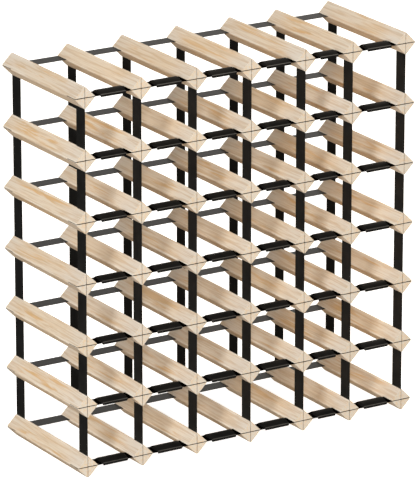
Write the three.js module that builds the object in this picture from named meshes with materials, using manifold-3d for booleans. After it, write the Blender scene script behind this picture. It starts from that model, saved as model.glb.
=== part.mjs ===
// A 42-bottle wine rack. Forty-nine square wooden bars lie front to back, each turned so that its
// corners point up, down and to the sides. Flat steel strips sit in cross-shaped saw kerfs in both
// ends of every bar and hold the bars in a grid of seven rows and seven columns.
// Millimetres. +X is the width, the front is at -Y, +Z is up, and the rack stands on z = 0.
// Rows are counted from the bottom and columns from the left, as seen from the front.

import * as THREE from "three";
import { mergeVertices } from "three/addons/utils/BufferGeometryUtils.js";
import Module from "manifold-3d";

const wasm = await Module();
wasm.setup();

// Grid of bars
const rows = 7;
const columns = 7;
const pitch = 97; // from one bar to the next, up and across
const narrowPitch = 86; // across the one narrow column of cells
const narrowColumn = 5; // the cells between bar columns 5 and 6

// Wooden bar
const barLength = 220;
const barAcross = 35; // from its top corner to its bottom corner
const barArris = 1.2; // width of the flat rubbed along each corner

// Steel strips
const stripWidth = 25;
const stripThickness = 0.8;
const stripPastLastBar = 16.5; // from the centre of the last bar to the end of the strip
const uprightSetback = 1; // the uprights' outer edges lie this far inside the bars' end faces
const clearance = 0.3; // around a strip in a kerf or a slot

// Pressed stretches of the front cross strips, between one bar and the next
const flatBesideBar = 8.5; // flat tongue that stays beside each bar's corner
const pressStep = 1.5; // length over which the flat tongue turns into the pressed section
const archRise = 5;
const archFacets = 3;
const lipDrop = 3; // how far the turned-down front edge reaches below the strip's middle

// The cross strips of these rows are one solid with the uprights that they cross.
const joinedRows = [2, 4, 6];

const kerfWidth = stripThickness + 2 * clearance;
const kerfDepth = uprightSetback + stripWidth + clearance;
const slotDepth = stripWidth / 2 + clearance;
const gridWidth = (columns - 2) * pitch + narrowPitch;
const gridHeight = (rows - 1) * pitch;
const lowestBar = barAcross / 2;
const frontFace = -barLength / 2;

function columnX(column) {
  const gaps = column - 1;
  const narrowGaps = column > narrowColumn ? 1 : 0;
  return -gridWidth / 2 + gaps * pitch - narrowGaps * (pitch - narrowPitch);
}

function rowZ(row) {
  return lowestBar + (row - 1) * pitch;
}

function numbersTo(count) {
  return Array.from({ length: count }, (_, index) => index + 1);
}

const pine = new THREE.MeshStandardMaterial({ color: "#dfc39d", roughness: 0.65, metalness: 0 });
const blackSteel = new THREE.MeshStandardMaterial({
  color: "#232122",
  roughness: 0.5,
  metalness: 0.3,
});

function toSolid(geometry) {
  const bare = geometry.clone();
  bare.deleteAttribute("normal");
  bare.deleteAttribute("uv");
  const merged = mergeVertices(bare);
  return new wasm.Manifold(
    new wasm.Mesh({
      numProp: 3,
      vertProperties: new Float32Array(merged.attributes.position.array),
      triVerts: new Uint32Array(merged.index.array),
    }),
  );
}

function toGeometry(solid) {
  const mesh = solid.getMesh();
  const geometry = new THREE.BufferGeometry();
  geometry.setAttribute("position", new THREE.BufferAttribute(mesh.vertProperties, mesh.numProp));
  geometry.setIndex(new THREE.BufferAttribute(mesh.triVerts, 1));
  geometry.computeVertexNormals();
  return geometry;
}

function block(sizeX, sizeY, sizeZ, x, y, z) {
  return toSolid(new THREE.BoxGeometry(sizeX, sizeY, sizeZ).translate(x, y, z));
}

// A bar about its own middle: a square with its corners rubbed flat, drawn along Y.
function makeBar() {
  const half = barAcross / 2;
  const flat = barArris / 2;
  const outline = new THREE.Shape();
  outline.moveTo(half, -flat);
  for (const quarter of [1, 2, 3, 4]) {
    const turn = (quarter * Math.PI) / 2;
    const corner = new THREE.Vector2(half, -flat).rotateAround(new THREE.Vector2(), turn);
    const before = new THREE.Vector2(half, flat).rotateAround(
      new THREE.Vector2(),
      turn - Math.PI / 2,
    );
    outline.lineTo(before.x, before.y);
    if (quarter < 4) outline.lineTo(corner.x, corner.y);
  }
  outline.closePath();
  const stick = new THREE.ExtrudeGeometry(outline, { depth: barLength, bevelEnabled: false });
  stick.translate(0, 0, -barLength / 2).rotateX(Math.PI / 2);
  let bar = toSolid(stick);
  for (const end of [-1, 1]) {
    const past = 1;
    const length = kerfDepth + past;
    const y = end * (barLength / 2 + past - length / 2);
    bar = bar.subtract(block(kerfWidth, length, 2 * barAcross, 0, y, 0));
    bar = bar.subtract(block(2 * barAcross, length, kerfWidth, 0, y, 0));
  }
  return toGeometry(bar);
}

// One ring of a cross strip's outline in the YZ plane. Pressed is 0 for the flat tongue beside a bar
// and 1 for the arched section with its turned-down front lip.
function stripRing(pressed) {
  const half = stripThickness / 2;
  const archAt = (y) => {
    const fromMiddle = (2 * y) / stripWidth - 1;
    return pressed * archRise * (1 - fromMiddle ** 2);
  };
  const lipBottom = pressed ? -lipDrop : -half;
  const ring = [
    [0, lipBottom],
    [0, half],
  ];
  for (let facet = 1; facet < archFacets; facet++) {
    const y = (stripWidth * facet) / archFacets;
    ring.push([y, archAt(y) + half]);
  }
  ring.push([stripWidth, half], [stripWidth, -half]);
  for (let facet = archFacets - 1; facet > 0; facet--) {
    const y = (stripWidth * facet) / archFacets;
    ring.push([y, archAt(y) - half]);
  }
  ring.push([stripThickness, archAt(stripThickness) - half]);
  ring.push([pressed ? stripThickness : half, lipBottom]);
  return ring;
}

// Skins a closed body over the rings that stand at the given places along X. Its two ends are flat
// tongues, each closed by a fan about the middle of the strip.
function loft(stations) {
  const sides = stations[0].ring.length;
  const positions = stations.flatMap(({ x, ring }) => ring.flatMap(([y, z]) => [x, y, z]));
  const firstMiddle = positions.length / 3;
  const lastMiddle = firstMiddle + 1;
  positions.push(stations[0].x, stripWidth / 2, 0, stations.at(-1).x, stripWidth / 2, 0);
  const lastStart = (stations.length - 1) * sides;
  const triangles = [];
  for (let station = 0; station < stations.length - 1; station++) {
    for (let side = 0; side < sides; side++) {
      const next = (side + 1) % sides;
      const a = station * sides + side;
      const b = station * sides + next;
      triangles.push(a, a + sides, b, b, a + sides, b + sides);
    }
  }
  for (let side = 0; side < sides; side++) {
    const next = (side + 1) % sides;
    triangles.push(firstMiddle, side, next);
    triangles.push(lastMiddle, lastStart + next, lastStart + side);
  }
  const geometry = new THREE.BufferGeometry();
  geometry.setAttribute("position", new THREE.Float32BufferAttribute(positions, 3));
  geometry.setIndex(triangles);
  return geometry;
}

// The front cross strip of a row, flat in the bars' kerfs and pressed between them.
function frontCrossStrip(row) {
  const flat = stripRing(0);
  const pressed = stripRing(1);
  const stations = [{ x: columnX(1) - stripPastLastBar, ring: flat }];
  for (const column of numbersTo(columns - 1)) {
    const start = columnX(column) + barAcross / 2 + flatBesideBar;
    const end = columnX(column + 1) - barAcross / 2 - flatBesideBar;
    stations.push({ x: start, ring: flat }, { x: start + pressStep, ring: pressed });
    stations.push({ x: end - pressStep, ring: pressed }, { x: end, ring: flat });
  }
  stations.push({ x: columnX(columns) + stripPastLastBar, ring: flat });
  return toSolid(loft(stations).translate(0, frontFace, rowZ(row)));
}

// The flat rear cross strip of a row.
function rearCrossStrip(row) {
  const length = gridWidth + 2 * stripPastLastBar;
  return block(length, stripWidth, stripThickness, 0, -frontFace - stripWidth / 2, rowZ(row));
}

function upright(column, y) {
  const length = gridHeight + 2 * stripPastLastBar;
  return block(stripThickness, stripWidth, length, columnX(column), y, rowZ(1) + gridHeight / 2);
}

// Cuts the slot that every strip needs to pass its neighbour at a crossing. The slot runs from one
// edge of the strip to a little past its middle.
function cutSlot(solid, column, row, edgeY, inward) {
  const past = 1;
  const length = slotDepth + past;
  const y = edgeY - inward * past + (inward * length) / 2;
  const cutter = block(kerfWidth, length, kerfWidth, columnX(column), y, rowZ(row));
  return solid.subtract(cutter);
}

// A lattice of one face: seven uprights as one solid with the cross strips of the joined rows, and
// the other rows' cross strips, which slide over the uprights in half-depth slots.
function makeLattice(crossStripOf, outerEdge, inward) {
  const innerEdge = outerEdge + inward * stripWidth;
  const uprightMiddle = outerEdge + inward * (uprightSetback + stripWidth / 2);
  let frame = null;
  for (const column of numbersTo(columns)) {
    const strip = upright(column, uprightMiddle);
    frame = frame ? frame.add(strip) : strip;
  }
  for (const row of joinedRows) frame = frame.add(crossStripOf(row));
  const looseStrips = [];
  for (const row of numbersTo(rows).filter((each) => !joinedRows.includes(each))) {
    let strip = crossStripOf(row);
    for (const column of numbersTo(columns)) {
      frame = cutSlot(frame, column, row, outerEdge, inward);
      strip = cutSlot(strip, column, row, innerEdge, -inward);
    }
    looseStrips.push({ row, strip });
  }
  return { frame, looseStrips };
}

function addMesh(parent, name, geometry, material) {
  const mesh = new THREE.Mesh(geometry, material);
  mesh.name = name;
  parent.add(mesh);
  return mesh;
}

function addBars(parent) {
  const barGeometry = makeBar();
  for (const row of numbersTo(rows)) {
    for (const column of numbersTo(columns)) {
      const bar = addMesh(parent, `bar_row${row}_column${column}`, barGeometry, pine.clone());
      bar.position.set(columnX(column), 0, rowZ(row));
    }
  }
}

function addLattice(parent, face, crossStripOf, outerEdge, inward) {
  const { frame, looseStrips } = makeLattice(crossStripOf, outerEdge, inward);
  addMesh(parent, `${face}_frame`, toGeometry(frame), blackSteel.clone());
  for (const { row, strip } of looseStrips) {
    addMesh(parent, `${face}_cross_strip_row${row}`, toGeometry(strip), blackSteel.clone());
  }
}

const wineRack = new THREE.Group();
addBars(wineRack);
addLattice(wineRack, "front", frontCrossStrip, frontFace, 1);
addLattice(wineRack, "rear", rearCrossStrip, -frontFace, -1);

export default wineRack;
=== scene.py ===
import math
import random

import bmesh
import bpy
from mathutils import Matrix, Vector


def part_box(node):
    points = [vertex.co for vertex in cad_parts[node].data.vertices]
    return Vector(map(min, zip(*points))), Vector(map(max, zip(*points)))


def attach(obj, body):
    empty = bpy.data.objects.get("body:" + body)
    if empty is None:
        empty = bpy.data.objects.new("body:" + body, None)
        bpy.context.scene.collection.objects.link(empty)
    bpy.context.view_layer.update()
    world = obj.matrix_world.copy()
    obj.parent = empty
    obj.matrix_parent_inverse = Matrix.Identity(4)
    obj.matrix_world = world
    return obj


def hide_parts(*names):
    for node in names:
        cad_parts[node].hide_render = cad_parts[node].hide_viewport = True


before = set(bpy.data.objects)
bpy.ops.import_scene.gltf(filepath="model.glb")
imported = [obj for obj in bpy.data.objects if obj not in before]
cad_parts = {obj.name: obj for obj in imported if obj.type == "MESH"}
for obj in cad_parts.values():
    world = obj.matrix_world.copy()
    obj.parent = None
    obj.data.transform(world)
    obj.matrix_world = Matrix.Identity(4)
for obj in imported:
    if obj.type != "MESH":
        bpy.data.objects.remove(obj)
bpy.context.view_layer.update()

ROWS = range(1, 8)
COLUMNS = range(1, 8)
JOINED_ROWS = (2, 4, 6)  # rows whose cross strips are one solid with the uprights in CAD

# Wooden bar
CORNER_RADIUS = 0.00145  # of the rubbed corners along the bar
CORNER_STEPS = 3
KERF_WIDTH = 0.0013
KERF_PAST_STRIP = 0.0013  # from the uprights' inner edge to the bottom of the kerf
END_EDGE = 0.00025  # easing of the edges around its ends and kerfs

# Colours and gloss of the pine
PINE_LIGHT = (0.79, 0.665, 0.52)
PINE_STREAK = (0.72, 0.5, 0.285)  # late wood of the growth rings
PINE_STAIN = (0.70, 0.435, 0.2)
PINE_WASH = (0.76, 0.565, 0.365)
PINE_GRAIN = (0.62, 0.425, 0.24)
PINE_BLEACH_AND_FRONT_LIGHT = (0.765, 0.68, 0.585)  # bleached towards the ends, and painted light towards the front end
PINE_CUT = (0.51, 0.462, 0.39)  # sawn end grain
PINE_ARRIS_HIGHLIGHT = (0.86, 0.76, 0.63)  # painted highlight along the corners, which also stands for rubbed wood
FIBRE_TINT = (0.87, 0.85, 0.82)
PINE_ROUGHNESS = (0.52, 0.72)
PINE_REFLECTION = 0.35

# Growth rings
RING_SPACING = 0.0034
RING_SWAY = 0.012
RING_UNEVENNESS = 0.004

# Where the pine pales: along the bar, from its middle; towards the front end, as painted light where
# the front is more lit; and beside a corner, from its tip, as a painted highlight that also stands for
# rubbed wood.
# Paling starts at the first distance and is complete at the second. The front is negative.
PALES_TO_ENDS = (0.055, 0.1)
FRONT_LIGHT_SPAN = (-0.03, -0.08)
ARRIS_HIGHLIGHT_SPAN = (0.0022, 0.0008)

# How much of each colour is mixed in. A pair is for the middle of the bar and for its ends.
STREAK_SHARE = 0.7
STAIN_SHARES = (0.95, 0.22)
WASH_SHARES = (0.5, 0.1)
END_SHARE = 0.25
FRONT_LIGHT_SHARE = 0.28
CUT_SHARE = 0.8
ARRIS_HIGHLIGHT_SHARE = 0.55
GRAIN_SHARE = 0.55
FIBRE_SHARE = 0.6

# How one bar's wood differs from the next
WOOD_SEED = 11
PITH_DISTANCE = (0.03, 0.09)  # from the middle of the bar to the middle of the trunk
TRUNK_TILT = 0.03  # radians
TRUNK_SHIFT = 5  # along the trunk, so that no two bars show the same stretch of the pattern
BOARD_LIGHTNESS = (0.97, 1.02)
BOARD_WARMTH = 0.02

# Steel strips
STRIP_THICKNESS = 0.0008
STRIP_EDGE = 0.00015
UPRIGHT_SETBACK = 0.001
SLOT_CLEARANCE = 0.0003

# Pressed stretches of the front cross strips, between one bar and the next
FLAT_BESIDE_BAR = 0.0085
PRESS_STEP = 0.0015  # length over which the flat strip turns into the pressed section
PRESS_POINTS = 6
ARCH_RISE = 0.005
ARCH_POINTS = 16
LIP_DROP = 0.003
BEND_RADIUS = 0.0012  # outer radius of the bend over the lip
FLAT_EDGE_RADIUS = 0.0004  # the same where the strip is flat
BEND_STEPS = 5

# Material slots of a front cross strip, after its first: near-black painted shade where it lies flat
# beside a bar, and a lighter painted highlight on the lip's bend
SHADED_TONGUE_FACES = 1
BEND_HIGHLIGHT_FACES = 2
BEND_HIGHLIGHT_SLOPE = 0.2  # how far up a face on the bend has to look to take the painted highlight

# Meshes
CUTTER_PAST = 0.001  # how far a cutter sticks out of what it cuts
EASED_FROM = math.radians(40)  # edges sharper than this are eased
EASED_SEGMENTS = 2
SMOOTH_UP_TO = math.radians(50)  # faces that meet more sharply than this stay crisp
WELD_DISTANCE = 0.000002

# Panel pins
PIN_FROM_END = 0.0135
PIN_OFF_MIDDLE = 0.0042
PIN_SHANK_RADIUS = 0.0007
PIN_TIP = 2.5 * PIN_SHANK_RADIUS
PIN_HEAD_RADIUS = 0.00115
PIN_HEAD_HEIGHT = 0.0007
PIN_HEAD_DOME = ((0.94, 0.0), (1.0, 0.25), (0.9, 0.65), (0.5, 0.93))  # shares of radius and height
PIN_HEAD_SUNK = 0.4  # share of its height that lies in the wood
PIN_LENGTH = 0.019
PIN_SIDES = 16
PIN_DARK = (0.33, 0.32, 0.31)
PIN_LIGHT = (0.52, 0.51, 0.49)
PIN_ROUGHNESS = (0.3, 0.5)

# Floor
FLOOR_REACH = 30
FLOOR_COLOUR = (0.93, 0.93, 0.925)
FLOOR_GLOW = 0.85

# Studio room: (azimuth, elevation, brightness, colour, cosine where it fades out) of each bright
# patch, and what the rest of the room gives
ROOM_PATCHES = (
    (84, 12, 2.9, (1, 0.88, 0.73), 0.4),
    (150, 20, 0.6, (1, 0.98, 0.95), 0.68),
    (-60, -35, 0.42, (1, 0.87, 0.72), 0.0),
)
ROOM_AMBIENT = (0.055, 0.045, 0.035)

# Key lamps
KEY_COLOUR = (0.91, 0.955, 1.0)
KEY_ELEVATION = 18
KEY_DISTANCE = 7
KEY_TARGET = (0, 0, 0.3)

# Camera
CAMERA_LENS = 350.6  # millimetres, as is the sensor
CAMERA_SENSOR = 36
CAMERA_REACH = 100
CAMERA_AZIMUTH = -31.68
CAMERA_ELEVATION = 18.01
CAMERA_DISTANCE = 7.2086
CAMERA_TARGET = (-0.0041, 0.0004, 0.3014)

BLACK = (0, 0, 0)
WHITE = (1, 1, 1)


def bar_node(row, column):
    return f"bar_row{row}_column{column}"


def middle(node):
    low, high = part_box(node)
    return (low + high) / 2


ROW_Z = {row: middle(bar_node(row, 1)).z for row in ROWS}
COLUMN_X = {column: middle(bar_node(1, column)).x for column in COLUMNS}
BAR_LOW, BAR_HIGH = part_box(bar_node(1, 1))
BAR_ACROSS = BAR_HIGH.x - BAR_LOW.x
BAR_LENGTH = BAR_HIGH.y - BAR_LOW.y
STRIP_LOW, STRIP_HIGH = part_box("rear_cross_strip_row1")
STRIP_WIDTH = STRIP_HIGH.y - STRIP_LOW.y
STRIP_PAST_LAST_BAR = STRIP_HIGH.x - COLUMN_X[COLUMNS[-1]]
SLOT_DEPTH = STRIP_WIDTH / 2 + SLOT_CLEARANCE


# ---------- meshes ----------


def new_object(name, mesh):
    obj = bpy.data.objects.new(name, mesh)
    bpy.context.scene.collection.objects.link(obj)
    return obj


def extruded(outlines, offset):
    """A bmesh of flat outlines swept by the offset. An outline is a list of points."""
    bm = bmesh.new()
    faces = [bm.faces.new([bm.verts.new(point) for point in outline]) for outline in outlines]
    swept = bmesh.ops.extrude_face_region(bm, geom=faces)
    moved = [item for item in swept["geom"] if isinstance(item, bmesh.types.BMVert)]
    bmesh.ops.translate(bm, verts=moved, vec=offset)
    bmesh.ops.recalc_face_normals(bm, faces=bm.faces)
    return bm


def to_mesh(bm, name):
    mesh = bpy.data.meshes.new(name)
    bm.to_mesh(mesh)
    bm.free()
    return mesh


def blocks(name, boxes):
    """One mesh of separate blocks, each given by its lowest and highest corner."""
    bm = bmesh.new()
    for low, high in boxes:
        size = Vector(high) - Vector(low)
        place = Matrix.Translation((Vector(low) + Vector(high)) / 2)
        bmesh.ops.create_cube(bm, size=1, matrix=place @ Matrix.Diagonal((*size, 1)))
    return to_mesh(bm, name)


def weld(mesh):
    """Joins the points that easing an edge leaves on top of each other."""
    bm = bmesh.new()
    bm.from_mesh(mesh)
    bmesh.ops.remove_doubles(bm, verts=bm.verts, dist=WELD_DISTANCE)
    bmesh.ops.dissolve_degenerate(bm, edges=bm.edges, dist=WELD_DISTANCE)
    bm.to_mesh(mesh)
    bm.free()


def shade_evenly(mesh):
    """Rounds the shading over eased edges only, so that a large flat face is shaded flat."""
    mesh.shade_smooth()
    smooth_cosine = math.cos(SMOOTH_UP_TO)
    around = [[] for _ in mesh.vertices]
    for face in mesh.polygons:
        for vertex in face.vertices:
            around[vertex].append(face)
    normals = []
    for face in mesh.polygons:
        for vertex in face.vertices:
            near = [other for other in around[vertex] if other.normal.dot(face.normal) > smooth_cosine]
            total = sum((other.normal * other.area for other in near), Vector())
            normals.append(total.normalized())
    mesh.normals_split_custom_set(normals)


def with_modifiers(mesh, name, cutter_mesh, edge_width):
    """The mesh with the cutter taken out of it and its sharp edges eased."""
    source = new_object(name, mesh)
    cutter = new_object(name + "_cutter", cutter_mesh)
    cut = source.modifiers.new("cut", "BOOLEAN")
    cut.operation = "DIFFERENCE"
    cut.solver = "EXACT"
    cut.object = cutter
    ease = source.modifiers.new("ease", "BEVEL")
    ease.width = edge_width
    ease.segments = EASED_SEGMENTS
    ease.limit_method = "ANGLE"
    ease.angle_limit = EASED_FROM
    graph = bpy.context.evaluated_depsgraph_get()
    result = bpy.data.meshes.new_from_object(source.evaluated_get(graph), depsgraph=graph)
    for obj in (source, cutter):
        old = obj.data
        bpy.data.objects.remove(obj)
        bpy.data.meshes.remove(old)
    result.name = name
    weld(result)
    shade_evenly(result)
    return result


# ---------- materials ----------


class Nodes:
    """A short way to build one material's node tree."""

    def __init__(self, name):
        self.material = bpy.data.materials.new(name)
        self.material.use_nodes = True
        self.tree = self.material.node_tree
        self.tree.nodes.clear()
        self.shader = self.add("ShaderNodeBsdfPrincipled")
        output = self.add("ShaderNodeOutputMaterial")
        self.link(self.shader.outputs["BSDF"], output.inputs["Surface"])

    def add(self, kind, **settings):
        node = self.tree.nodes.new(kind)
        for key, value in settings.items():
            setattr(node, key, value)
        return node

    def link(self, source, target):
        self.tree.links.new(source, target)

    def attribute(self, name):
        return self.add("ShaderNodeAttribute", attribute_name=name).outputs["Vector"]

    def object_place(self):
        return self.add("ShaderNodeTexCoord").outputs["Object"]

    def drawn_out(self, vector, share):
        """The vector with only a share of its Y, which draws a pattern out along the trunk."""
        node = self.add("ShaderNodeVectorMath", operation="MULTIPLY")
        self.link(vector, node.inputs[0])
        node.inputs[1].default_value = (1, share, 1)
        return node.outputs["Vector"]

    def noise(self, vector, scale, detail, roughness=0.5, distortion=0.0):
        node = self.add("ShaderNodeTexNoise")
        self.link(vector, node.inputs["Vector"])
        node.inputs["Scale"].default_value = scale
        node.inputs["Detail"].default_value = detail
        node.inputs["Roughness"].default_value = roughness
        node.inputs["Distortion"].default_value = distortion
        return node.outputs["Fac"]

    def math(self, operation, first, second=None):
        node = self.add("ShaderNodeMath", operation=operation)
        for socket, value in zip(node.inputs, (first, second)):
            if value is None:
                continue
            if isinstance(value, (int, float)):
                socket.default_value = value
            else:
                self.link(value, socket)
        return node.outputs["Value"]

    def ramp(self, factor, stops, interpolation="LINEAR"):
        node = self.add("ShaderNodeValToRGB")
        node.color_ramp.interpolation = interpolation
        elements = node.color_ramp.elements
        while len(elements) < len(stops):
            elements.new(0.5)
        for element, (place, colour) in zip(elements, stops):
            element.position = place
            element.color = (*colour, 1)
        self.link(factor, node.inputs["Fac"])
        return node.outputs["Color"]

    def mask(self, factor, start, end):
        """Black up to the start and white from the end on."""
        return self.ramp(factor, [(start, BLACK), (end, WHITE)], "EASE")

    def ranged(self, factor, low, high):
        node = self.add("ShaderNodeMapRange")
        self.link(factor, node.inputs["Value"])
        node.inputs["To Min"].default_value = low
        node.inputs["To Max"].default_value = high
        return node.outputs["Result"]

    def smooth_step(self, factor, start, end):
        node = self.add("ShaderNodeMapRange", interpolation_type="SMOOTHSTEP")
        self.link(factor, node.inputs["Value"])
        node.inputs["From Min"].default_value = start
        node.inputs["From Max"].default_value = end
        return node.outputs["Result"]

    def mix(self, factor, first, second, blend="MIX"):
        """Mixes two colours. A colour mix uses inputs 0, 6 and 7 and output 2 of its node."""
        node = self.add("ShaderNodeMix", data_type="RGBA", blend_type=blend)
        sockets = (node.inputs[0], node.inputs[6], node.inputs[7])
        for socket, value in zip(sockets, (factor, first, second)):
            if isinstance(value, (int, float)):
                socket.default_value = value
            elif isinstance(value, tuple):
                socket.default_value = (*value, 1)
            else:
                self.link(value, socket)
        return node.outputs[2]

    def bump(self, height, distance, strength, before=None):
        node = self.add("ShaderNodeBump")
        node.inputs["Distance"].default_value = distance
        node.inputs["Strength"].default_value = strength
        self.link(height, node.inputs["Height"])
        if before is not None:
            self.link(before, node.inputs["Normal"])
        return node.outputs["Normal"]


def pine_material():
    """Pale pine. The wood attribute is the place in the log: Y runs along the trunk, and the
    distance from the Y axis is the distance from the pith. The bar attribute is the place in the
    bar, from its middle, and the board attribute is the bar's tint."""
    n = Nodes("pine")
    wood = n.attribute("wood")
    board = n.attribute("board")
    place = n.add("ShaderNodeSeparateXYZ")
    n.link(n.attribute("bar"), place.inputs[0])
    from_middle = n.math("ABSOLUTE", place.outputs["Y"])
    near_end = n.smooth_step(from_middle, *PALES_TO_ENDS)
    front_light_mask = n.smooth_step(place.outputs["Y"], *FRONT_LIGHT_SPAN)
    on_end = n.smooth_step(from_middle, BAR_LENGTH / 2 - END_EDGE, BAR_LENGTH / 2 - END_EDGE / 4)

    # Growth rings, seen as soft stripes along the bar and as faint arcs on its ends
    sway = n.noise(n.drawn_out(wood, 0.1), scale=38, detail=2)
    uneven = n.noise(n.drawn_out(wood, 0.02), scale=160, detail=1)
    from_pith = n.add("ShaderNodeVectorMath", operation="LENGTH")
    n.link(n.drawn_out(wood, 0), from_pith.inputs[0])
    radius = n.math("ADD", from_pith.outputs["Value"], n.math("MULTIPLY", sway, RING_SWAY))
    radius = n.math("ADD", radius, n.math("MULTIPLY", uneven, RING_UNEVENNESS))
    ring = n.math("FRACT", n.math("DIVIDE", radius, RING_SPACING))
    late = n.ramp(ring, [(0.0, BLACK), (0.35, (0.1, 0.1, 0.1)), (0.85, WHITE), (1.0, BLACK)])
    strength = n.noise(n.drawn_out(wood, 0.1), scale=55, detail=1)
    late = n.math("MULTIPLY", late, n.ranged(strength, 0.0, STREAK_SHARE))
    colour = n.mix(late, PINE_LIGHT, PINE_STREAK)

    # Warm, resin-stained streaks of a hand's length, and a tan wash in broader patches
    stain = n.noise(n.drawn_out(wood, 0.055), scale=120, detail=4, roughness=0.65, distortion=0.6)
    stain = n.math("MULTIPLY", n.mask(stain, 0.5, 0.63), n.ranged(near_end, *STAIN_SHARES))
    colour = n.mix(stain, colour, PINE_STAIN)
    wash = n.noise(n.drawn_out(wood, 0.16), scale=24, detail=2)
    wash = n.math("MULTIPLY", n.mask(wash, 0.4, 0.7), n.ranged(near_end, *WASH_SHARES))
    colour = n.mix(wash, colour, PINE_WASH)

    # The bar is bleached a little towards both ends, and painted paler still towards its front end, as
    # painted light where the front is more lit; the sawn end grain is duller
    end_bleach = n.math("MULTIPLY", near_end, END_SHARE)
    painted_front_light = n.math("MULTIPLY", front_light_mask, FRONT_LIGHT_SHARE)
    colour = n.mix(n.math("ADD", end_bleach, painted_front_light), colour, PINE_BLEACH_AND_FRONT_LIGHT)
    colour = n.mix(n.math("MULTIPLY", on_end, CUT_SHARE), colour, PINE_CUT)

    # The corners are paler: a painted highlight along them, which also stands for rubbed wood
    beside = n.math("ABSOLUTE", place.outputs["X"])
    above = n.math("ABSOLUTE", place.outputs["Z"])
    across = n.math("MAXIMUM", beside, above)
    arris_highlight = n.smooth_step(across, *(BAR_ACROSS / 2 - distance for distance in ARRIS_HIGHLIGHT_SPAN))
    colour = n.mix(n.math("MULTIPLY", arris_highlight, ARRIS_HIGHLIGHT_SHARE), colour, PINE_ARRIS_HIGHLIGHT)

    # Grain lines a few millimetres apart
    grain = n.noise(n.drawn_out(wood, 0.035), scale=300, detail=3, roughness=0.65)
    grain = n.math("MULTIPLY", n.mask(grain, 0.47, 0.6), GRAIN_SHARE)
    colour = n.mix(grain, colour, PINE_GRAIN)

    # Fibres
    fibre = n.noise(n.drawn_out(wood, 0.012), scale=800, detail=3, roughness=0.6)
    tone = n.ramp(fibre, [(0.3, FIBRE_TINT), (0.7, WHITE)])
    colour = n.mix(FIBRE_SHARE, colour, tone, "MULTIPLY")
    colour = n.mix(1.0, colour, board, "MULTIPLY")
    n.link(colour, n.shader.inputs["Base Color"])
    n.link(n.ranged(fibre, *PINE_ROUGHNESS), n.shader.inputs["Roughness"])
    n.shader.inputs["Specular IOR Level"].default_value = PINE_REFLECTION
    fibres = n.bump(fibre, distance=0.00012, strength=0.6)
    rings = n.bump(ring, distance=0.00006, strength=0.5, before=fibres)
    n.link(rings, n.shader.inputs["Normal"])
    return n.material


def steel_material(name, colours, roughness, reflection):
    """Black coating on steel strip, mottled between two colours and between two roughnesses."""
    n = Nodes(name)
    place = n.object_place()
    dark, light = colours
    cloud = n.noise(place, scale=60, detail=3)
    n.link(n.ramp(cloud, [(0.3, dark), (0.7, light)]), n.shader.inputs["Base Color"])
    mottle = n.noise(place, scale=180, detail=2)
    n.link(n.ranged(mottle, *roughness), n.shader.inputs["Roughness"])
    n.shader.inputs["Specular IOR Level"].default_value = reflection
    grit = n.noise(place, scale=2200, detail=2)
    n.link(n.bump(grit, distance=0.00004, strength=0.5), n.shader.inputs["Normal"])
    return n.material


def pin_material():
    n = Nodes("pin_steel")
    dull = n.noise(n.object_place(), scale=1500, detail=3)
    n.link(n.ramp(dull, [(0.3, PIN_DARK), (0.7, PIN_LIGHT)]), n.shader.inputs["Base Color"])
    n.shader.inputs["Metallic"].default_value = 1.0
    n.link(n.ranged(dull, *PIN_ROUGHNESS), n.shader.inputs["Roughness"])
    return n.material


def floor_material():
    n = Nodes("pale_floor")
    n.shader.inputs["Base Color"].default_value = (*FLOOR_COLOUR, 1)
    n.shader.inputs["Roughness"].default_value = 0.8
    n.shader.inputs["Specular IOR Level"].default_value = 0.1
    n.shader.inputs["Emission Color"].default_value = (*WHITE, 1)
    n.shader.inputs["Emission Strength"].default_value = FLOOR_GLOW
    return n.material


PINE = pine_material()
STEEL = steel_material(
    "black_steel",
    colours=((0.006, 0.0063, 0.0064), (0.0105, 0.0107, 0.0107)),
    roughness=(0.27, 0.37),
    reflection=0.12,
)
STEEL_PRESSED = steel_material(
    "black_steel_pressed",
    colours=((0.006, 0.006, 0.0055), (0.010, 0.0095, 0.009)),
    roughness=(0.3, 0.4),
    reflection=0.025,
)
# Near-black, matt copy of the coating: painted shade for the flat strip beside each bar
STEEL_SHADED_TONGUE = steel_material(
    "black_steel_shaded_tongue",
    colours=((0.001, 0.0008, 0.0006), (0.002, 0.0015, 0.001)),
    roughness=(0.8, 0.9),
    reflection=0.0,
)
# Lighter, glossier copy of the coating: a painted highlight along the lip's bend
STEEL_BEND_HIGHLIGHT = steel_material(
    "black_steel_bend_highlight",
    colours=((0.012, 0.012, 0.011), (0.02, 0.02, 0.019)),
    roughness=(0.3, 0.4),
    reflection=0.8,
)
PIN_STEEL = pin_material()


def finish_piece(name, mesh, material, nodes):
    mesh.materials.clear()
    mesh.materials.append(material)
    obj = new_object(name, mesh)
    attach(obj, "root")
    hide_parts(*nodes)
    return obj


# ---------- bars ----------


def bar_outline():
    """The bar's section in the XZ plane: a square on its corner, with rounded corners."""
    from_middle = BAR_ACROSS / 2 - CORNER_RADIUS
    points = []
    for corner in range(4):
        towards = corner * math.pi / 2
        centre = Vector((math.cos(towards), math.sin(towards))) * from_middle
        for step in range(CORNER_STEPS + 1):
            angle = towards + math.pi / 4 * (2 * step / CORNER_STEPS - 1)
            edge = centre + Vector((math.cos(angle), math.sin(angle))) * CORNER_RADIUS
            points.append((edge.x, -BAR_LENGTH / 2, edge.y))
    return points


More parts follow.
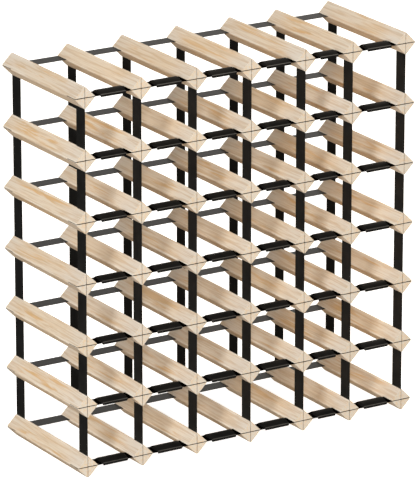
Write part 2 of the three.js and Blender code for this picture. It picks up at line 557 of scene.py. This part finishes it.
def kerf_cutter():
    """A prism with a cross-shaped section over each end of the bar."""
    half = KERF_WIDTH / 2
    reach = BAR_ACROSS
    cross = []
    for quarter in range(4):
        turn = Matrix.Rotation(quarter * math.pi / 2, 2)
        cross += [turn @ Vector(point) for point in ((reach, -half), (reach, half), (half, half))]
    depth = UPRIGHT_SETBACK + STRIP_WIDTH + KERF_PAST_STRIP
    starts = (-BAR_LENGTH / 2 - CUTTER_PAST, BAR_LENGTH / 2 - depth)
    outlines = [[(point.x, start, point.y) for point in cross] for start in starts]
    return to_mesh(extruded(outlines, (0, depth + CUTTER_PAST, 0)), "kerf_cutter")


def bar_template():
    stick = to_mesh(extruded([bar_outline()], (0, BAR_LENGTH, 0)), "bar")
    return with_modifiers(stick, "bar_template", kerf_cutter(), END_EDGE)


def add_wood_place(mesh, rng):
    """Gives each vertex its place in the log that the bar was sawn from, and the bar a tint."""
    turn = Matrix.Rotation(rng.uniform(0, 2 * math.pi), 3, "Y")
    out = rng.uniform(*PITH_DISTANCE)
    tilt = Matrix.Rotation(rng.uniform(-TRUNK_TILT, TRUNK_TILT), 3, "X")
    shift = Vector((out, rng.uniform(-TRUNK_SHIFT, TRUNK_SHIFT), 0))
    light = rng.uniform(*BOARD_LIGHTNESS)
    warmth = rng.uniform(-BOARD_WARMTH, BOARD_WARMTH)
    tint = (light * (1 + warmth / 2), light, light * (1 - warmth))
    wood = mesh.attributes.new("wood", "FLOAT_VECTOR", "POINT")
    board = mesh.attributes.new("board", "FLOAT_VECTOR", "POINT")
    bar = mesh.attributes.new("bar", "FLOAT_VECTOR", "POINT")
    for index, vertex in enumerate(mesh.vertices):
        wood.data[index].vector = tilt @ (turn @ vertex.co) + shift
        board.data[index].vector = tint
        bar.data[index].vector = vertex.co


def make_bars():
    template = bar_template()
    rng = random.Random(WOOD_SEED)
    for row in ROWS:
        for column in COLUMNS:
            mesh = template.copy()
            add_wood_place(mesh, rng)
            mesh.transform(Matrix.Translation((COLUMN_X[column], 0, ROW_Z[row])))
            node = bar_node(row, column)
            finish_piece(f"pine_{node}", mesh, PINE, [node])
    bpy.data.meshes.remove(template)


# ---------- strips ----------


def slot_box(column, row, edge, inward):
    """The slot that lets a strip pass its neighbour, from the strip's edge to past its middle."""
    half = STRIP_THICKNESS / 2 + SLOT_CLEARANCE
    outer = edge - inward * CUTTER_PAST
    inner = edge + inward * SLOT_DEPTH
    low, high = min(outer, inner), max(outer, inner)
    x, z = COLUMN_X[column], ROW_Z[row]
    return ((x - half, low, z - half), (x + half, high, z + half))


def make_upright(face, column, outer_edge, inward):
    edge = outer_edge + inward * UPRIGHT_SETBACK
    far = edge + inward * STRIP_WIDTH
    x = COLUMN_X[column] - STRIP_THICKNESS / 2
    low = ROW_Z[ROWS[0]] - STRIP_PAST_LAST_BAR
    high = ROW_Z[ROWS[-1]] + STRIP_PAST_LAST_BAR
    outline = [(x, edge, low), (x, far, low), (x, far, high), (x, edge, high)]
    plate = to_mesh(extruded([outline], (STRIP_THICKNESS, 0, 0)), "upright")
    slots = [slot_box(column, row, outer_edge, inward) for row in ROWS]
    name = f"{face}_upright_column{column}"
    mesh = with_modifiers(plate, name, blocks("slots", slots), STRIP_EDGE)
    finish_piece(name, mesh, STEEL, [f"{face}_frame"])


def cross_node(face, row):
    return f"{face}_frame" if row in JOINED_ROWS else f"{face}_cross_strip_row{row}"


def make_cross_strip(face, row, plate, slots, material):
    name = f"{face}_strip_row{row}"
    mesh = with_modifiers(plate, name, blocks("slots", slots), STRIP_EDGE)
    return finish_piece(name, mesh, material, [cross_node(face, row)])


def make_rear_strip(row):
    edge = BAR_HIGH.y
    far = edge - STRIP_WIDTH
    z = ROW_Z[row] - STRIP_THICKNESS / 2
    left, right = STRIP_LOW.x, STRIP_HIGH.x
    outline = [(left, edge, z), (right, edge, z), (right, far, z), (left, far, z)]
    plate = to_mesh(extruded([outline], (0, 0, STRIP_THICKNESS)), "rear_strip")
    slots = [slot_box(column, row, far, 1) for column in COLUMNS]
    make_cross_strip("rear", row, plate, slots, STEEL)


def strip_ring(pressed):
    """The front strip's outline in the YZ plane, from its front edge. Pressed is 0 for the flat
    tongue beside a bar and 1 for the arched section with its turned-down lip."""
    half = STRIP_THICKNESS / 2
    lip = half + pressed * (LIP_DROP - half)

    def arch(y):
        from_middle = 2 * y / STRIP_WIDTH - 1
        return pressed * ARCH_RISE * (1 - from_middle**2)

    across = [STRIP_WIDTH * step / ARCH_POINTS for step in range(1, ARCH_POINTS)]
    bend = FLAT_EDGE_RADIUS + pressed * (BEND_RADIUS - FLAT_EDGE_RADIUS)
    bend_bottom = arch(bend) + half - bend
    turns = [math.pi / 2 * step / BEND_STEPS for step in range(BEND_STEPS + 1)]
    ring = [(0, -lip)]
    ring += [(bend - bend * math.cos(turn), bend_bottom + bend * math.sin(turn)) for turn in turns]
    ring += [(y, arch(y) + half) for y in across]
    ring += [(STRIP_WIDTH, half), (STRIP_WIDTH, -half)]
    ring += [(y, arch(y) - half) for y in reversed(across)]
    ring += [(STRIP_THICKNESS, arch(STRIP_THICKNESS) - half)]
    lip_back = STRIP_THICKNESS * (0.5 + 0.5 * pressed)
    ring += [(lip_back, -lip)]
    return ring


def eased(share):
    return share * share * (3 - 2 * share)


def press_stations():
    """(X, pressed) along the strip, from its left end to its right end."""
    stations = [(STRIP_LOW.x, 0)]
    for column in COLUMNS[:-1]:
        start = COLUMN_X[column] + BAR_ACROSS / 2 + FLAT_BESIDE_BAR
        end = COLUMN_X[column + 1] - BAR_ACROSS / 2 - FLAT_BESIDE_BAR
        rise = [step / PRESS_POINTS for step in range(PRESS_POINTS + 1)]
        stations += [(start + PRESS_STEP * share, eased(share)) for share in rise]
        stations += [(end - PRESS_STEP * share, eased(share)) for share in reversed(rise)]
    return stations + [(STRIP_HIGH.x, 0)]


def front_strip_plate(row):
    """The front strip of a row before its slots are cut, skinned over its outlines."""
    bm = bmesh.new()
    rings = []
    for x, pressed in press_stations():
        outline = strip_ring(pressed)
        ring = [bm.verts.new((x, BAR_LOW.y + y, ROW_Z[row] + z)) for y, z in outline]
        rings.append(ring)
    for near, far in zip(rings, rings[1:]):
        for index in range(len(near)):
            after = (index + 1) % len(near)
            bm.faces.new((near[index], far[index], far[after], near[after]))
    bm.faces.new(rings[0])
    bm.faces.new(list(reversed(rings[-1])))
    bmesh.ops.recalc_face_normals(bm, faces=bm.faces)
    return to_mesh(bm, "front_strip")


def make_front_strip(row):
    inner_edge = BAR_LOW.y + STRIP_WIDTH
    slots = [slot_box(column, row, inner_edge, -1) for column in COLUMNS]
    strip = make_cross_strip("front", row, front_strip_plate(row), slots, STEEL_PRESSED)

    # Where the strip lies flat beside a bar its coating is matt and near black, as painted shade from
    # the bar; over the lip's bend it is glossier and lighter, as a painted highlight
    strip.data.materials.append(STEEL_SHADED_TONGUE)
    strip.data.materials.append(STEEL_BEND_HIGHLIGHT)
    for face in strip.data.polygons:
        past_bar = min(abs(face.center.x - x) for x in COLUMN_X.values()) - BAR_ACROSS / 2
        if past_bar < FLAT_BESIDE_BAR:
            face.material_index = SHADED_TONGUE_FACES
        elif face.center.y < BAR_LOW.y + BEND_RADIUS and face.normal.z > BEND_HIGHLIGHT_SLOPE:
            face.material_index = BEND_HIGHLIGHT_FACES


def make_strips():
    for column in COLUMNS:
        make_upright("front", column, BAR_LOW.y, 1)
        make_upright("rear", column, BAR_HIGH.y, -1)
    for row in ROWS:
        make_front_strip(row)
        make_rear_strip(row)


# ---------- pins ----------


def pin_profile():
    """The pin's outline as (radius, height) from its point up to its domed head."""
    head = [(PIN_HEAD_RADIUS * out, PIN_HEAD_HEIGHT * up) for out, up in PIN_HEAD_DOME]
    shank = [(PIN_SHANK_RADIUS, PIN_TIP - PIN_LENGTH), (PIN_SHANK_RADIUS, 0.0)]
    return [(0.0, -PIN_LENGTH), *shank, *head, (0.0, PIN_HEAD_HEIGHT)]


def add_pin(bm, place):
    profile = pin_profile()
    bottom = bm.verts.new(place @ Vector((0, 0, profile[0][1])))
    top = bm.verts.new(place @ Vector((0, 0, profile[-1][1])))
    rings = []
    for radius, height in profile[1:-1]:
        ring = []
        for side in range(PIN_SIDES):
            angle = 2 * math.pi * side / PIN_SIDES
            point = Vector((radius * math.cos(angle), radius * math.sin(angle), height))
            ring.append(bm.verts.new(place @ point))
        rings.append(ring)
    for side in range(PIN_SIDES):
        after = (side + 1) % PIN_SIDES
        bm.faces.new((bottom, rings[0][after], rings[0][side]))
        bm.faces.new((top, rings[-1][side], rings[-1][after]))
        for below, above in zip(rings, rings[1:]):
            bm.faces.new((below[side], below[after], above[after], above[side]))


def make_pins(face, end):
    """One pin in each bar end, driven square into its upper right face, through both strips."""
    bm = bmesh.new()
    face_distance = BAR_ACROSS / 2 / math.sqrt(2) + CORNER_RADIUS * (1 - 1 / math.sqrt(2))
    lean = Matrix.Rotation(math.pi / 4, 4, "Y")
    head_bottom = face_distance - PIN_HEAD_HEIGHT * PIN_HEAD_SUNK
    on_face = Matrix.Translation((-PIN_OFF_MIDDLE, 0, head_bottom))
    y = end * (BAR_LENGTH / 2 - PIN_FROM_END)
    for row in ROWS:
        for column in COLUMNS:
            at_bar = Matrix.Translation((COLUMN_X[column], y, ROW_Z[row]))
            add_pin(bm, at_bar @ lean @ on_face)
    bmesh.ops.recalc_face_normals(bm, faces=bm.faces)
    mesh = to_mesh(bm, f"{face}_pins")
    mesh.shade_smooth()
    mesh.set_sharp_from_angle(angle=SMOOTH_UP_TO)
    mesh.materials.append(PIN_STEEL)
    obj = new_object(f"{face}_pins", mesh)
    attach(obj, "root")


# ---------- floor, light and camera ----------


def make_floor():
    """A pale floor that only the camera sees. It glows, so the rack's shadow on it doesn't show."""
    bm = bmesh.new()
    bmesh.ops.create_grid(bm, x_segments=1, y_segments=1, size=FLOOR_REACH)
    floor = new_object("floor", to_mesh(bm, "floor"))
    floor.data.materials.append(floor_material())
    floor.visible_diffuse = False
    floor.visible_glossy = False
    floor.visible_shadow = False


def aim(obj, place, target):
    obj.location = place
    obj.rotation_euler = (Vector(target) - Vector(place)).to_track_quat("-Z", "Y").to_euler()


def direction(azimuth, elevation):
    """The unit vector from the rack towards a viewer or lamp. Azimuth 0 is in front, and grows
    to the right."""
    a, e = math.radians(azimuth), math.radians(elevation)
    return Vector((math.sin(a) * math.cos(e), -math.cos(a) * math.cos(e), math.sin(e)))


def soft_light(name, azimuth, width, height, power):
    """A large rectangular lamp that faces the rack. Its power is in watts."""
    data = bpy.data.lights.new(name, "AREA")
    data.shape = "RECTANGLE"
    data.size = width
    data.size_y = height
    data.energy = power
    data.color = KEY_COLOUR
    obj = bpy.data.objects.new(name, data)
    bpy.context.scene.collection.objects.link(obj)
    target = Vector(KEY_TARGET)
    aim(obj, target + direction(azimuth, KEY_ELEVATION) * KEY_DISTANCE, target)


def make_world():
    """The studio around the rack: a dim room with a warm bright wall on the right, a paler one
    behind, and light thrown up by the ground in front of the key lamps."""
    world = bpy.data.worlds.new("studio")
    bpy.context.scene.world = world
    world.use_nodes = True
    tree = world.node_tree
    tree.nodes.clear()
    towards = tree.nodes.new("ShaderNodeTexCoord").outputs["Generated"]
    total = None
    for azimuth, elevation, brightness, colour, fade_out in ROOM_PATCHES:
        facing = tree.nodes.new("ShaderNodeVectorMath")
        facing.operation = "DOT_PRODUCT"
        facing.inputs[1].default_value = direction(azimuth, elevation)
        tree.links.new(towards, facing.inputs[0])
        patch = tree.nodes.new("ShaderNodeMapRange")
        patch.interpolation_type = "SMOOTHSTEP"
        patch.inputs["From Min"].default_value = fade_out
        tree.links.new(facing.outputs["Value"], patch.inputs["Value"])
        add = tree.nodes.new("ShaderNodeVectorMath")
        add.operation = "MULTIPLY_ADD"
        tree.links.new(patch.outputs["Result"], add.inputs[0])
        add.inputs[1].default_value = Vector(colour) * brightness
        add.inputs[2].default_value = ROOM_AMBIENT
        if total is not None:
            tree.links.new(total, add.inputs[2])
        total = add.outputs["Vector"]
    background = tree.nodes.new("ShaderNodeBackground")
    tree.links.new(total, background.inputs["Color"])
    output = tree.nodes.new("ShaderNodeOutputWorld")
    tree.links.new(background.outputs["Background"], output.inputs["Surface"])


def make_camera():
    data = bpy.data.cameras.new("camera")
    data.lens = CAMERA_LENS
    data.sensor_width = CAMERA_SENSOR
    data.clip_end = CAMERA_REACH
    camera = bpy.data.objects.new("camera", data)
    bpy.context.scene.collection.objects.link(camera)
    target = Vector(CAMERA_TARGET)
    aim(camera, target + direction(CAMERA_AZIMUTH, CAMERA_ELEVATION) * CAMERA_DISTANCE, target)
    bpy.context.scene.camera = camera


make_bars()
make_strips()
make_pins("front", -1)
make_pins("rear", 1)
make_floor()
make_world()
soft_light("broad_key", azimuth=-38, width=5, height=3.5, power=432)
soft_light("narrow_key", azimuth=-50, width=2, height=2.2, power=260)
make_camera()
bpy.context.scene.view_settings.view_transform = "Standard"
